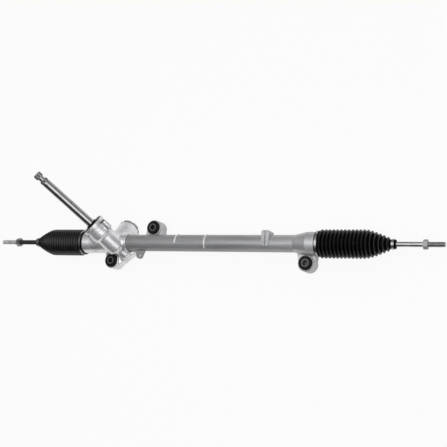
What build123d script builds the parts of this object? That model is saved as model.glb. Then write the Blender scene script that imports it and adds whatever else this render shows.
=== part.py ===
"""Manual rack-and-pinion steering gear, in millimetres.

Row frame: +X runs along the rack away from the pinion end, +Z is up, and +Y points to the side of
the steering column.  The origin is the axis of the front mounting bolt at the pinion end, in the
plane on which the three mounting bushes stand.
"""

import os
from math import acos, atan, ceil, cos, degrees, pi, radians, sin, sqrt, tan

from build123d import *

os.makedirs("parts", exist_ok=True)

# ---------------------------------------------------------------- driving dimensions
# where the rack lies, seen from the front bolt at the pinion end
rack_y = 44.0
rack_z = 40.0
pinion_x = 19.0  # where the pinion crosses the rack
rack_offset = 17.0  # the rack stands this far off the middle, towards +X
rack_travel = 68.0  # from the middle to either stop
stop_gap = 1.0

# rack and pinion teeth
module = 2.0  # normal module
pinion_teeth = 7
pressure_angle = 20.0
profile_shift = 0.4
helix_angle = 30.0  # of the pinion, left hand
pinion_tilt = 35.5  # pinion axis against the square across the rack
pinion_lean = 45.0  # pinion plane above the horizontal
backlash = 0.16
tooth_clearance = 0.5
rack_radius = 12.0
rack_tooth_tip = 9.0  # from the rack axis to the tooth tips
pinion_face = 32.0
tooth_run_out = 22.0  # teeth past the pinion's middle at either stop

# housing
tube_radius = 20.0
rack_bore = 15.0
end_radius = 27.2
end_bore = 22.0
pinion_end_radius = 26.0
lip_past_stop = 19.0  # from each rack stop to the boot's lip
lip_to_pinion = 94.0  # from the boot's lip at the pinion end to the pinion
boot_seat_length = 14.0
boot_seat_radius = 25.0
flare_start = 52.0  # inboard of the boot lip, at the far end
flare_end = 21.0
pinion_end_shoulder = 70.0  # inboard of the boot lip, at the pinion end
tube_start = 24.0  # from the pinion to the tube's end, inside the casting
collar_end = 28.0  # from the pinion to the end of the casting's collar
collar_radius = 24.0
bush_length = 24.0
bush_wall = 5.0
fit = 0.05  # radial clearance of every running or seated fit
soft_gap = 0.3  # between rubber and what moves inside or around it

# pinion tower, with distances along the pinion axis from the rack
nose_depth = 35.0
nose_radius = 15.0
nose_round = 4.0
nose_shoulder = 12.0
tower_foot = 3.0
tower_radius = 24.0
tower_top = 60.0
flange_radius = 28.0
flange_depth = 14.0
flange_slope = 6.0
pinion_cavity = 13.0
cover_height = 19.0
cover_radius = 27.0
cover_ear_radius = 33.0
ear_round = 6.5
ear_height = 8.0
screw_radius = 3.0
screw_head = 4.0
screw_head_height = 4.5
screw_length = 20.0
nose_journal = 7.0
nose_cup_wall = 1.0
needle_radius = 1.0
needle_count = 14
nose_cup_length = 12.0
shaft_radius = 10.4
bearing_bore = 10.0
bearing_outer = 21.0
bearing_width = 12.0
ball_radius = 3.1
ball_count = 9
race_groove = 0.28  # how deep each ball sits, less its clearance
circlip_width = 1.6
circlip_height = 2.0
seal_width = 7.0
seal_outer = 17.0
seal_ledge = 3.0  # how far the cover reaches in under the seal
seal_depth = 1.0
seal_throat = 2.5  # between the seal's body and the shaft
seal_lip = 2.0  # how far the lip stands back from the seal's outer face
seal_lip_width = 1.0
shaft_end = 262.0  # tip of the input shaft
spline_length = 30.0
spline_radius = 9.6
groove_from_tip = 13.0
groove_width = 8.0
groove_depth = 2.4
shaft_chamfer = 1.2
dust_cover_lip = 5.0
dust_cover_rise = 7.0
dust_cover_radius = 29.5
dust_cover_wall = 2.5

# rack support yoke, with distances along its axis from the rack
yoke_radius = 15.0
yoke_back = 33.0
liner_thickness = 1.0
yoke_boss_radius = 26.5
yoke_boss_end = 54.0
plug_radius = 17.0
plug_inner = 37.0
plug_end = 62.0
plug_hex = 17.0  # across flats
plug_key_depth = 8.0
lock_nut_flats = 46.0
lock_nut_height = 7.0
spring_wire = 1.6
spring_mean = 6.5
spring_turns = 3
spring_pocket = 8.6
spring_seat = 23.0
plug_pocket = 4.0
o_ring_wire = 1.25
o_ring_from_back = 6.0

# mounting bushes
mount_b_x = 110.0
mount_b_y = 82.0
mount_c_inset = 24.0  # from the far end's boot lip
bolt_bore = 6.2
sleeve_radius = 9.0
rubber_radius = 15.5
rubber_collar = 16.3
barrel_radius = 19.0
sleeve_length = 45.0
barrel_bottom = 4.0
barrel_top = 39.0
rubber_inset = 1.0
web_bottom = 9.0
web_top = 34.0

# inner ball joints and tie rods, with distances outboard from the ball's centre
ball_centre_half = 378.0  # from the middle of the rack
joint_ball = 11.0
socket_radius = 17.5
socket_wall = 3.5
socket_back = 24.0
socket_floor = 15.0
socket_mouth = 12.0
socket_lip = 10.6
seat_front = 5.0
stud_radius = 7.0
stud_length = 20.0
washer_thickness = 2.0
washer_radius = 15.5
neck_radius = 5.5
rod_radius = 5.8
thread_radius = 6.0  # M12 x 1.25
thread_pitch_radius = 5.6  # where the nut's thread meets the rod's
rod_shoulder = 16.0
rod_length = 195.0
rod_tip_chamfer = 1.5
nut_flats = 19.0
nut_height = 10.0
free_thread = {"left": 45.5, "right": 37.0}  # from each jam nut to the rod's tip

# boots and their bands
cuff_reach = 88.5  # from the ball's centre to the boot's small end
lip_radius = 29.0
lip_width = 9.5
boot_peak = 33.0
boot_valley = 29.0
boot_inner = 24.0
boot_folds = 12
cone_folds = 6
cone_end_peak = 15.0
small_cuff_radius = 10.5
small_cuff_width = 13.0
band_width = 5.5
band_wall = 1.0
band_inset = 2.2
band_ear = 5.0
clip_width = 6.0
clip_ear_height = 6.0
clip_ear_gap = 2.5

# small cast features
ear_hole = 3.3
clip_ear_x = 79.0
clip_ear_reach = 31.0
clip_ear_round = 8.0
clip_ear_root = 15.0
web_spread = 8.0  # how much wider each web is at the tube than at its barrel
clip_ear_thickness = 8.0
pad_inset = 117.5  # from the far end's boot lip
pad_length = 19.0
pad_reach = 28.0
pad_root = 8.0
pad_proud = 1.5  # above the top of the tube
pad_depth = 30.0
pad_round = 4.0
pad_groove = 3.0
band_rib_places = (180.0, 257.0)
band_rib_width = 3.0
band_rib_height = 1.0
band_rib_sweep = 110.0
casting_chamfer = 1.5

# ---------------------------------------------------------------- worked-out directions and places
tilt = radians(pinion_tilt)
lean = radians(pinion_lean)
helix = radians(helix_angle)
rack_tooth_slant = helix - tilt  # tooth line of the rack against the square across it

along_x = Vector(1, 0, 0)
across = Vector(0, cos(lean), sin(lean))  # square to the rack, in the pinion plane
to_rack = Vector(0, sin(lean), -cos(lean))  # from the pinion axis to the rack axis
pinion_way = along_x * -sin(tilt) + across * cos(tilt)
tooth_line = along_x * sin(rack_tooth_slant) + across * cos(rack_tooth_slant)

pitch_radius = pinion_teeth * module / (2 * cos(helix))
rack_reference = rack_tooth_tip - module
centre_distance = rack_reference + pitch_radius + profile_shift * module
pinion_tip = pitch_radius + (1 + profile_shift) * module
pinion_root = centre_distance - rack_tooth_tip - tooth_clearance
rack_tooth_root = centre_distance - pinion_tip - tooth_clearance
tooth_pitch = pi * module

stop_half = ball_centre_half - socket_back - washer_thickness - rack_travel - stop_gap
boot_lip_half = stop_half + lip_past_stop
left_lip = pinion_x - lip_to_pinion
centre_x = left_lip + boot_lip_half  # middle of the housing
right_lip = centre_x + boot_lip_half
mount_c_x = right_lip - mount_c_inset
pad_x = right_lip - pad_inset
mount_places = {"a": (0.0, 0.0), "b": (mount_b_x, mount_b_y), "c": (mount_c_x, 0.0)}

crossing = Vector(pinion_x, rack_y, rack_z)
pinion_origin = crossing - to_rack * centre_distance
rack_middle = centre_x + rack_offset
cover_top = tower_top + cover_height
bearing_base = tower_top - bearing_width

rack_line = Plane(origin=(0, rack_y, rack_z), x_dir=(1, 0, 0), z_dir=(0, -1, 0))
pinion_line = Plane(origin=pinion_origin, x_dir=pinion_way, z_dir=to_rack)
yoke_line = Plane(origin=crossing, x_dir=to_rack, z_dir=(1, 0, 0))


def end_line(x, side):
    """The rack axis seen from x, with the plane's x running outboard on the given side."""
    return Plane(origin=(x, rack_y, rack_z), x_dir=(side, 0, 0), z_dir=(0, -side, 0))


def bolt_line(x, y):
    """A mounting bolt's axis, with the plane's x running up from the mounting plane."""
    return Plane(origin=(x, y, 0), x_dir=(0, 0, 1), z_dir=(0, -1, 0))


def square_to(line, distance):
    """The plane square to an axis plane's x, at a distance along it."""
    return Plane(origin=line.origin + line.x_dir * distance, x_dir=line.z_dir, z_dir=line.x_dir)


def turned(outline, line, mode=Mode.ADD):
    """Turn a closed outline of (along, radius) points about the axis plane's x."""
    with BuildSketch(line) as profile:
        with BuildLine():
            Polyline(*outline, close=True)
        make_face()
    revolve(profile.sketch, axis=Axis(line.origin, line.x_dir), mode=mode)


def sleeve_outline(start, end, inner, outer):
    return [(start, inner), (end, inner), (end, outer), (start, outer)]


def bored(line, start, end, radius):
    """Bore a round hole along an axis plane's x."""
    turned(sleeve_outline(start, end, 0, radius), line, Mode.SUBTRACT)


def finish(piece, name):
    piece.part.label = name
    export_step(piece.part, f"parts/{name}.step")


# ---------------------------------------------------------------- housing: gear casting, tube and far end
def cover_ears(bottom, height):
    """Two screw ears on opposite sides of the tower, joined across its middle."""
    with BuildSketch(square_to(pinion_line, bottom)) as ears:
        SlotCenterToCenter(2 * cover_ear_radius, 2 * ear_round, rotation=90)
    extrude(ears.sketch, amount=height)


def cover_screw_holes(bottom, depth, radius):
    with BuildSketch(square_to(pinion_line, bottom)) as holes:
        with PolarLocations(cover_ear_radius, 2, start_angle=90):
            Circle(radius)
    extrude(holes.sketch, amount=depth, mode=Mode.SUBTRACT)


def barrel(place):
    """The cast barrel round a mounting bush."""
    barrel_outline = [
        (barrel_bottom, 0),
        (barrel_bottom, barrel_radius - casting_chamfer),
        (barrel_bottom + casting_chamfer, barrel_radius),
        (barrel_top - casting_chamfer, barrel_radius),
        (barrel_top, barrel_radius - casting_chamfer),
        (barrel_top, 0),
    ]
    turned(barrel_outline, bolt_line(*place))


def web(*corners):
    """A web between a barrel and the tube, from its corners seen from above."""
    with BuildSketch(Plane.XY.offset(web_bottom)) as outline:
        with BuildLine():
            Polyline(*corners, close=True)
        make_face()
    extrude(outline.sketch, amount=web_top - web_bottom)


def barrel_bore(place):
    """The bush's bore, with room above it for the rubber's collar."""
    bored(bolt_line(*place), barrel_bottom, barrel_top, rubber_radius)
    bored(bolt_line(*place), barrel_top, sleeve_length + 1, rubber_collar + soft_gap)


casting_end = left_lip - boot_seat_length
far_end = right_lip + boot_seat_length
tube_left = pinion_x + tube_start
tube_right = right_lip - flare_start

with BuildPart() as rack_housing:
    casting_outline = [
        (casting_end, 0),
        (casting_end, boot_seat_radius),
        (left_lip, boot_seat_radius),
        (left_lip, end_radius),
        (left_lip + flare_end, pinion_end_radius),
        (left_lip + pinion_end_shoulder, pinion_end_radius),
        (pinion_x + collar_end, collar_radius),
        (pinion_x + collar_end, 0),
    ]
    turned(casting_outline, rack_line)

    # pinion tower, from its nose to the flange that carries the cover
    tower_outline = [
        (-nose_depth, 0),
        (-nose_depth, nose_radius - nose_round),
        (-nose_depth + nose_round, nose_radius),
        (-nose_shoulder, nose_radius),
        (-tower_foot, tower_radius),
        (tower_top - flange_depth - flange_slope, tower_radius),
        (tower_top - flange_depth, flange_radius),
        (tower_top, flange_radius),
        (tower_top, 0),
    ]
    turned(tower_outline, pinion_line)
    cover_ears(tower_top - flange_depth, flange_depth)

    # yoke boss, opposite the pinion
    boss_outline = [
        (0, 0),
        (0, yoke_boss_radius),
        (yoke_boss_end - casting_chamfer, yoke_boss_radius),
        (yoke_boss_end, yoke_boss_radius - casting_chamfer),
        (yoke_boss_end, 0),
    ]
    turned(boss_outline, yoke_line)

    barrel(mount_places["a"])
    web(
        (-barrel_radius, 0),
        (barrel_radius / 2, -barrel_radius * sin(pi / 3)),
        (tube_left + barrel_radius, rack_y - tube_radius),
        (tube_left + barrel_radius, rack_y),
        (-barrel_radius - web_spread / 2, rack_y),
    )

    # bores, and the socket that the tube is pressed into
    bored(rack_line, casting_end, tube_left, rack_bore)
    bored(rack_line, tube_left, tube_left + 3 * tube_radius, tube_radius + fit)
    bored(rack_line, casting_end, centre_x - stop_half, end_bore)
    nose_bore = nose_journal + 2 * needle_radius + nose_cup_wall + 3 * fit
    nose_floor = -pinion_face / 2 - nose_cup_length - 2
    bored(pinion_line, nose_floor, tower_top, nose_bore)
    bored(pinion_line, -pinion_face / 2 - 1, tower_top, pinion_cavity)
    bored(pinion_line, bearing_base, tower_top, bearing_outer + fit)
    bored(yoke_line, 0, yoke_boss_end, yoke_radius + fit)
    bored(yoke_line, plug_inner - 1, yoke_boss_end, plug_radius + fit)
    barrel_bore(mount_places["a"])
    screw_reach = screw_length - ear_height
    cover_screw_holes(tower_top - screw_reach, screw_reach, screw_radius + fit)
finish(rack_housing, "rack_housing")

with BuildPart() as rack_tube:
    turned(sleeve_outline(tube_left + fit, tube_right, 0, tube_radius), rack_line)

    # a small ear for a pipe clip, under the tube
    with BuildSketch(Plane.XY.offset(rack_z - clip_ear_thickness / 2)) as clip_ear:
        with BuildLine():
            Polyline(
                (clip_ear_x - clip_ear_root, rack_y - rack_bore),
                (clip_ear_x - clip_ear_round, rack_y - clip_ear_reach),
                (clip_ear_x + clip_ear_round, rack_y - clip_ear_reach),
                (clip_ear_x + clip_ear_root, rack_y - rack_bore),
                close=True,
            )
        make_face()
        with Locations((clip_ear_x, rack_y - clip_ear_reach)):
            Circle(clip_ear_round)
            Circle(ear_hole, mode=Mode.SUBTRACT)
    extrude(clip_ear.sketch, amount=clip_ear_thickness)

    # a grooved pad on the column side of the tube, a little proud of its top
    pad_top = rack_z + tube_radius + pad_proud
    with BuildSketch(Plane.XY.offset(pad_top - pad_depth)) as pad:
        with Locations((pad_x, rack_y + (pad_reach - pad_root) / 2)):
            RectangleRounded(pad_length, pad_reach + pad_root, pad_round)
    extrude(pad.sketch, amount=pad_depth)
    with BuildSketch(Plane.XY.offset(pad_top - 2 * pad_proud)) as groove:
        with Locations((pad_x, rack_y + pad_reach / 2)):
            Rectangle(pad_groove, 2 * pad_reach)
    extrude(groove.sketch, amount=2 * pad_proud, mode=Mode.SUBTRACT)

    # two raised bands part of the way round the tube
    for x in band_rib_places:
        with BuildSketch(rack_line) as rib:
            with Locations((x, tube_radius)):
                Rectangle(band_rib_width, 2 * band_rib_height)
        revolve(rib.sketch, axis=Axis(rack_line.origin, rack_line.x_dir), revolution_arc=-band_rib_sweep)

    bored(rack_line, tube_left, tube_right, rack_bore)
finish(rack_tube, "rack_tube")

with BuildPart() as middle_bracket:
    barrel(mount_places["b"])
    web(
        (mount_b_x - barrel_radius, mount_b_y),
        (mount_b_x + barrel_radius, mount_b_y),
        (mount_b_x + barrel_radius + web_spread, rack_y),
        (mount_b_x - barrel_radius - web_spread, rack_y),
    )
    saddle = 2 * (barrel_radius + web_spread)
    bored(rack_line, mount_b_x - saddle, mount_b_x + saddle, tube_radius + fit)
    barrel_bore(mount_places["b"])
finish(middle_bracket, "middle_bracket")

with BuildPart() as far_housing:
    far_outline = [
        (tube_right, 0),
        (tube_right, tube_radius),
        (right_lip - flare_end, end_radius),
        (right_lip, end_radius),
        (right_lip, boot_seat_radius),
        (far_end, boot_seat_radius),
        (far_end, 0),
    ]
    turned(far_outline, rack_line)
    barrel(mount_places["c"])
    web(
        (mount_c_x - barrel_radius, 0),
        (mount_c_x + barrel_radius, 0),
        (right_lip - casting_chamfer, rack_y),
        (mount_c_x - barrel_radius - web_spread, rack_y),
    )
    stop = centre_x + stop_half
    bored(rack_line, tube_right, far_end, rack_bore)
    bored(rack_line, stop, far_end, end_bore)
    bored(rack_line, stop - bush_length, stop, rack_radius + bush_wall)
    barrel_bore(mount_places["c"])
finish(far_housing, "far_housing")

# ---------------------------------------------------------------- tower cover, screws, seal and dust cover
with BuildPart() as pinion_cover:
    cover_outline = [
        (tower_top, 0),
        (tower_top, flange_radius),
        (tower_top + ear_height, flange_radius),
        (tower_top + ear_height + casting_chamfer, cover_radius),
        (cover_top - casting_chamfer, cover_radius),
        (cover_top, cover_radius - casting_chamfer),
        (cover_top, 0),
    ]
    turned(cover_outline, pinion_line)
    cover_ears(tower_top, ear_height)
    bored(pinion_line, tower_top, cover_top, seal_outer - seal_ledge)
    bored(pinion_line, cover_top - seal_width - seal_depth, cover_top, seal_outer + fit)
    cover_screw_holes(tower_top, ear_height, screw_radius + soft_gap)
finish(pinion_cover, "pinion_cover")

with BuildPart() as cover_screws:
    with BuildSketch(square_to(pinion_line, tower_top + ear_height)) as heads:
        with PolarLocations(cover_ear_radius, 2, start_angle=90):
            RegularPolygon(screw_head, 6, major_radius=False)
    extrude(heads.sketch, amount=screw_head_height)
    with BuildSketch(square_to(pinion_line, tower_top + ear_height)) as shanks:
        with PolarLocations(cover_ear_radius, 2, start_angle=90):
            Circle(screw_radius)
    extrude(shanks.sketch, amount=soft_gap - screw_length)
finish(cover_screws, "cover_screws")

with BuildPart() as pinion_seal:
    seal_base = cover_top - seal_width - seal_depth
    seal_outline = [
        (seal_base, shaft_radius + seal_throat),
        (seal_base, seal_outer),
        (seal_base + seal_width, seal_outer),
        (seal_base + seal_width, shaft_radius + seal_throat),
        (seal_base + seal_width - seal_lip, shaft_radius + soft_gap),
        (seal_base + seal_width - seal_lip - seal_lip_width, shaft_radius + soft_gap),
    ]
    turned(seal_outline, pinion_line)
finish(pinion_seal, "pinion_seal")

with BuildPart() as dust_cover:
    rim = cover_top - dust_cover_lip
    dome = cover_top + dust_cover_rise
    hub = shaft_radius + soft_gap
    dust_cover_outline = [
        (rim, cover_radius + fit),
        (rim, dust_cover_radius),
        (cover_top + 1.5, dust_cover_radius),
        (cover_top + dust_cover_wall + 1, dust_cover_radius - 2.5),
        (dome - 3, hub + 4),
        (dome, hub + 2.5),
        (dome, hub),
        (dome - 5, hub),
        (cover_top + 0.1, hub + 5),
        (cover_top + 0.1, cover_radius + fit),
    ]
    turned(dust_cover_outline, pinion_line)
finish(dust_cover, "dust_cover")

# ---------------------------------------------------------------- pinion bearings
ball_circle = (bearing_bore + bearing_outer) / 2
race_mid = bearing_base + bearing_width / 2


def race_groove_cut(clearance):
    """Cut the ball groove, a ring of round section, out of a race."""
    with BuildSketch(pinion_line) as groove:
        with Locations((race_mid, ball_circle)):
            Circle(ball_radius + clearance)
    revolve(groove.sketch, axis=Axis(pinion_line.origin, pinion_line.x_dir), mode=Mode.SUBTRACT)


with BuildPart() as bearing_outer_race:
    outer_shoulder = ball_circle + ball_radius - race_groove * 5
    turned(sleeve_outline(bearing_base, tower_top - fit, outer_shoulder, bearing_outer), pinion_line)
    race_groove_cut(fit)
finish(bearing_outer_race, "bearing_outer_race")

with BuildPart() as bearing_inner_race:
    inner_shoulder = ball_circle - ball_radius + race_groove * 5
    turned(sleeve_outline(bearing_base, tower_top - fit, bearing_bore + fit, inner_shoulder), pinion_line)
    race_groove_cut(fit)
finish(bearing_inner_race, "bearing_inner_race")

with BuildPart() as bearing_balls:
    with Locations(square_to(pinion_line, race_mid)):
        with PolarLocations(ball_circle, ball_count):
            Sphere(ball_radius)
finish(bearing_balls, "bearing_balls")

circlip_base = tower_top + fit
with BuildPart() as bearing_circlip:
    with BuildSketch(square_to(pinion_line, circlip_base)) as ring:
        Circle(bearing_bore + circlip_height)
        Circle(bearing_bore - 0.8, mode=Mode.SUBTRACT)
        with Locations((bearing_bore, 0)):
            Rectangle(2 * bearing_bore, 4, mode=Mode.SUBTRACT)
    extrude(ring.sketch, amount=circlip_width)
finish(bearing_circlip, "bearing_circlip")

nose_top = -pinion_face / 2 - 1
needle_circle = nose_journal + needle_radius + fit
with BuildPart() as nose_bearing_cup:
    cup_inner = nose_journal + 2 * needle_radius + 2 * fit
    cup_outline = sleeve_outline(nose_top - nose_cup_length, nose_top, cup_inner, cup_inner + nose_cup_wall)
    turned(cup_outline, pinion_line)
finish(nose_bearing_cup, "nose_bearing_cup")

with BuildPart() as nose_bearing_needles:
    with BuildSketch(square_to(pinion_line, nose_top - nose_cup_length + 1)) as needles:
        with PolarLocations(needle_circle, needle_count):
            Circle(needle_radius)
    extrude(needles.sketch, amount=nose_cup_length - 2)
finish(nose_bearing_needles, "nose_bearing_needles")

# ---------------------------------------------------------------- pinion and input shaft
transverse_angle = atan(tan(radians(pressure_angle)) / cos(helix))
base_radius = pitch_radius * cos(transverse_angle)


def involute(angle):
    return tan(angle) - angle


def half_thickness_angle(radius):
    """Half the angle that a pinion tooth takes up at a radius on its involute flank."""
    at_pitch = pi / (2 * pinion_teeth) + 2 * profile_shift * tan(radians(pressure_angle)) / pinion_teeth
    at_radius = acos(base_radius / radius) if radius > base_radius else 0
    return at_pitch + involute(transverse_angle) - involute(at_radius)


def on_circle(radius, angle):
    return (radius * cos(angle), radius * sin(angle))


tooth_angle = 2 * pi / pinion_teeth
flank_steps = 6
flank_radii = [
    base_radius + (pinion_tip - base_radius) * (step / flank_steps) ** 1.5 for step in range(flank_steps + 1)
]
twist = pinion_face * tan(helix) / pitch_radius
start_turn = tooth_angle / 2 + twist / 2

with BuildSketch() as pinion_section:
    for tooth in range(pinion_teeth):
        middle = tooth * tooth_angle + start_turn
        with BuildLine():
            rising = [on_circle(r, middle - half_thickness_angle(r)) for r in flank_radii]
            falling = [on_circle(r, middle + half_thickness_angle(r)) for r in flank_radii]
            root_in = on_circle(pinion_root - 1, middle - half_thickness_angle(base_radius))
            root_out = on_circle(pinion_root - 1, middle + half_thickness_angle(base_radius))
            Line(root_out, root_in)
            Line(root_in, rising[0])
            Spline(*rising)
            ThreePointArc(rising[-1], on_circle(pinion_tip, middle), falling[-1])
            Spline(*falling)
            Line(falling[0], root_out)
        make_face()
    Circle(pinion_root)

shaft_tip = shaft_end - shaft_chamfer
nose_end = nose_floor + 1.0
shank_radius = pinion_root + 2.5
with BuildPart() as pinion_shaft:
    toothed = Solid.extrude_linear_with_rotation(
        pinion_section.sketch.faces()[0], (0, 0, 0), (0, 0, pinion_face), -degrees(twist)
    )
    add(square_to(pinion_line, -pinion_face / 2).location * toothed)
    shaft_outline = [
        (nose_end, 0),
        (nose_end, nose_journal - 0.6),
        (nose_end + 0.6, nose_journal),
        (-pinion_face / 2 - 0.5, nose_journal),
        (-pinion_face / 2 - 0.5, pinion_root),
        (pinion_face / 2, pinion_root),
        (pinion_face / 2 + 2, shank_radius),
        (bearing_base - 3, shank_radius),
        (bearing_base - 3, bearing_bore + 1.6),
        (bearing_base, bearing_bore + 1.6),
        (bearing_base, bearing_bore),
        (circlip_base - fit, bearing_bore),
        (circlip_base - fit, bearing_bore - 0.9),
        (circlip_base + circlip_width + fit, bearing_bore - 0.9),
        (circlip_base + circlip_width + fit, bearing_bore),
        (tower_top + 6, bearing_bore),
        (tower_top + 6, shaft_radius),
        (shaft_end - spline_length - 2, shaft_radius),
        (shaft_end - spline_length, spline_radius),
        (shaft_tip, spline_radius),
        (shaft_end, spline_radius - shaft_chamfer),
        (shaft_end, 0),
    ]
    turned(shaft_outline, pinion_line)
    # the pinch bolt's groove runs all the way round the splined end
    groove_base = shaft_end - groove_from_tip - groove_width
    groove_outline = sleeve_outline(
        groove_base, groove_base + groove_width, spline_radius - groove_depth, spline_radius + 1
    )
    turned(groove_outline, pinion_line, Mode.SUBTRACT)
finish(pinion_shaft, "pinion_shaft")

# ---------------------------------------------------------------- rack bar
rack_end_half = ball_centre_half - socket_back - washer_thickness
gaps_left = ceil((rack_travel - rack_offset + tooth_run_out) / tooth_pitch)
gaps_right = ceil((rack_travel + rack_offset + tooth_run_out) / tooth_pitch)
normal_way = along_x * cos(rack_tooth_slant) - across * sin(rack_tooth_slant)
# the tooth section, with +y on the pinion's side
tooth_plane = Plane(origin=crossing, x_dir=normal_way, z_dir=-tooth_line)
slope = tan(radians(pressure_angle))
gap_half = tooth_pitch / 4 + backlash / 2
gap_half_at_root = gap_half - (rack_reference - rack_tooth_root) * slope
gap_half_at_tip = gap_half + (rack_tooth_tip - rack_reference) * slope

with BuildPart() as rack_bar:
    bar_outline = sleeve_outline(rack_middle - rack_end_half, rack_middle + rack_end_half, 0, rack_radius)
    turned(bar_outline, rack_line)
    # one cut mills the bar flat to the tooth tips and opens the gaps between the teeth
    flat_left = -(gaps_left + 0.5) * tooth_pitch
    flat_right = (gaps_right + 0.5) * tooth_pitch
    comb = [(flat_right, rack_radius + 1), (flat_left, rack_radius + 1), (flat_left, rack_tooth_tip)]
    for gap in range(-gaps_left, gaps_right):
        gap_middle = (gap + 0.5) * tooth_pitch
        comb += [
            (gap_middle - gap_half_at_tip, rack_tooth_tip),
            (gap_middle - gap_half_at_root, rack_tooth_root),
            (gap_middle + gap_half_at_root, rack_tooth_root),
            (gap_middle + gap_half_at_tip, rack_tooth_tip),
        ]
    comb.append((flat_right, rack_tooth_tip))
    with BuildSketch(tooth_plane) as gaps:
        with BuildLine():
            Polyline(*comb, close=True)
        make_face()
    # the slanted section runs off the rack's middle, so the cut reaches that much further
    comb_reach = rack_radius + 2 + flat_right * abs(tan(rack_tooth_slant))
    extrude(gaps.sketch, amount=comb_reach, both=True, mode=Mode.SUBTRACT)
    for side in (-1, 1):
        end = end_line(rack_middle + side * rack_end_half, side)
        bored(end, -stud_length - 2, 0, stud_radius + fit)
finish(rack_bar, "rack_bar")

with BuildPart() as rack_bush:
    bush_outer = rack_radius + bush_wall - fit / 2
    turned(sleeve_outline(stop - bush_length, stop, rack_radius + fit, bush_outer), rack_line)
finish(rack_bush, "rack_bush")

# ---------------------------------------------------------------- rack support yoke
liner_inner = rack_radius + fit
yoke_cradle = liner_inner + liner_thickness
yoke_face = 4.0  # how far past the rack axis's level the yoke's horns stop short
with BuildPart() as rack_yoke:
    yoke_outline = [
        (yoke_face, 0),
        (yoke_face, yoke_radius - 1),
        (yoke_face + 1, yoke_radius),
        (yoke_back - 1, yoke_radius),
        (yoke_back, yoke_radius - 1),
        (yoke_back, 0),
    ]
    turned(yoke_outline, yoke_line)
    bored(rack_line, pinion_x - 2 * yoke_radius, pinion_x + 2 * yoke_radius, yoke_cradle)
    bored(yoke_line, spring_seat, yoke_back, spring_pocket)
    ring_place = yoke_back - o_ring_from_back
    ring_half = o_ring_wire + fit
    groove_floor = yoke_radius - 2 * o_ring_wire
    groove_top = yoke_radius + fit
    ring_groove = sleeve_outline(ring_place - ring_half, ring_place + ring_half, groove_floor, groove_top)
    turned(ring_groove, yoke_line, Mode.SUBTRACT)
finish(rack_yoke, "rack_yoke")

with BuildPart() as yoke_liner:
    turned(sleeve_outline(yoke_face + 1, yoke_back, 0, yoke_radius - 1.5), yoke_line)
    yoke_left = pinion_x - 2 * yoke_radius
    yoke_right = pinion_x + 2 * yoke_radius
    bored(rack_line, yoke_left, yoke_right, liner_inner)
    outside = sleeve_outline(yoke_left, yoke_right, yoke_cradle - fit / 2, 3 * yoke_radius)
    turned(outside, rack_line, Mode.SUBTRACT)
finish(yoke_liner, "yoke_liner")

with BuildPart() as yoke_o_ring:
    with BuildSketch(yoke_line) as section:
        with Locations((ring_place, yoke_radius - o_ring_wire)):
            Circle(o_ring_wire - fit / 2)
    revolve(section.sketch, axis=Axis(yoke_line.origin, yoke_line.x_dir))
finish(yoke_o_ring, "yoke_o_ring")

with BuildPart() as yoke_spring:
    spring_space = plug_inner + plug_pocket - spring_seat - 2 * (spring_wire + fit)
    spring_pitch = spring_space / spring_turns
    coil = square_to(yoke_line, spring_seat + spring_wire + fit)
    with BuildLine() as wire_path:
        Helix(spring_pitch, spring_space, spring_mean, center=coil.origin, direction=coil.z_dir)
    with BuildSketch(wire_path.line ^ 0) as wire_section:
        Circle(spring_wire)
    sweep(wire_section.sketch, path=wire_path.line, is_frenet=True)
finish(yoke_spring, "yoke_spring")

with BuildPart() as yoke_plug:
    plug_outline = sleeve_outline(plug_inner, plug_end, 0, plug_radius)
    turned(plug_outline, yoke_line)
    bored(yoke_line, plug_inner, plug_inner + plug_pocket, spring_pocket)
    with BuildSketch(square_to(yoke_line, plug_end - plug_key_depth)) as key:
        RegularPolygon(plug_hex / 2, 6, major_radius=False)
    extrude(key.sketch, amount=plug_key_depth, mode=Mode.SUBTRACT)
finish(yoke_plug, "yoke_plug")

with BuildPart() as yoke_lock_nut:
    with BuildSketch(square_to(yoke_line, yoke_boss_end)) as flats:
        RegularPolygon(lock_nut_flats / 2, 6, major_radius=False)
        Circle(plug_radius + fit, mode=Mode.SUBTRACT)
    extrude(flats.sketch, amount=lock_nut_height)
finish(yoke_lock_nut, "yoke_lock_nut")

# ---------------------------------------------------------------- mounting bushes
for letter, (x, y) in mount_places.items():
    with BuildPart() as mount_rubber:
        rubber_outline = [
            (rubber_inset, sleeve_radius),
            (sleeve_length - rubber_inset, sleeve_radius),
            (sleeve_length - rubber_inset, rubber_collar - 2),
            (sleeve_length - rubber_inset - 1.5, rubber_collar),
            (barrel_top, rubber_collar),
            (barrel_top, rubber_radius),
            (rubber_inset + 2, rubber_radius),
            (rubber_inset, rubber_radius - 2),
        ]
        turned(rubber_outline, bolt_line(x, y))
    finish(mount_rubber, f"mount_rubber_{letter}")

    with BuildPart() as mount_sleeve:
        turned(sleeve_outline(0, sleeve_length, bolt_bore, sleeve_radius), bolt_line(x, y))
    finish(mount_sleeve, f"mount_sleeve_{letter}")

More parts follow.
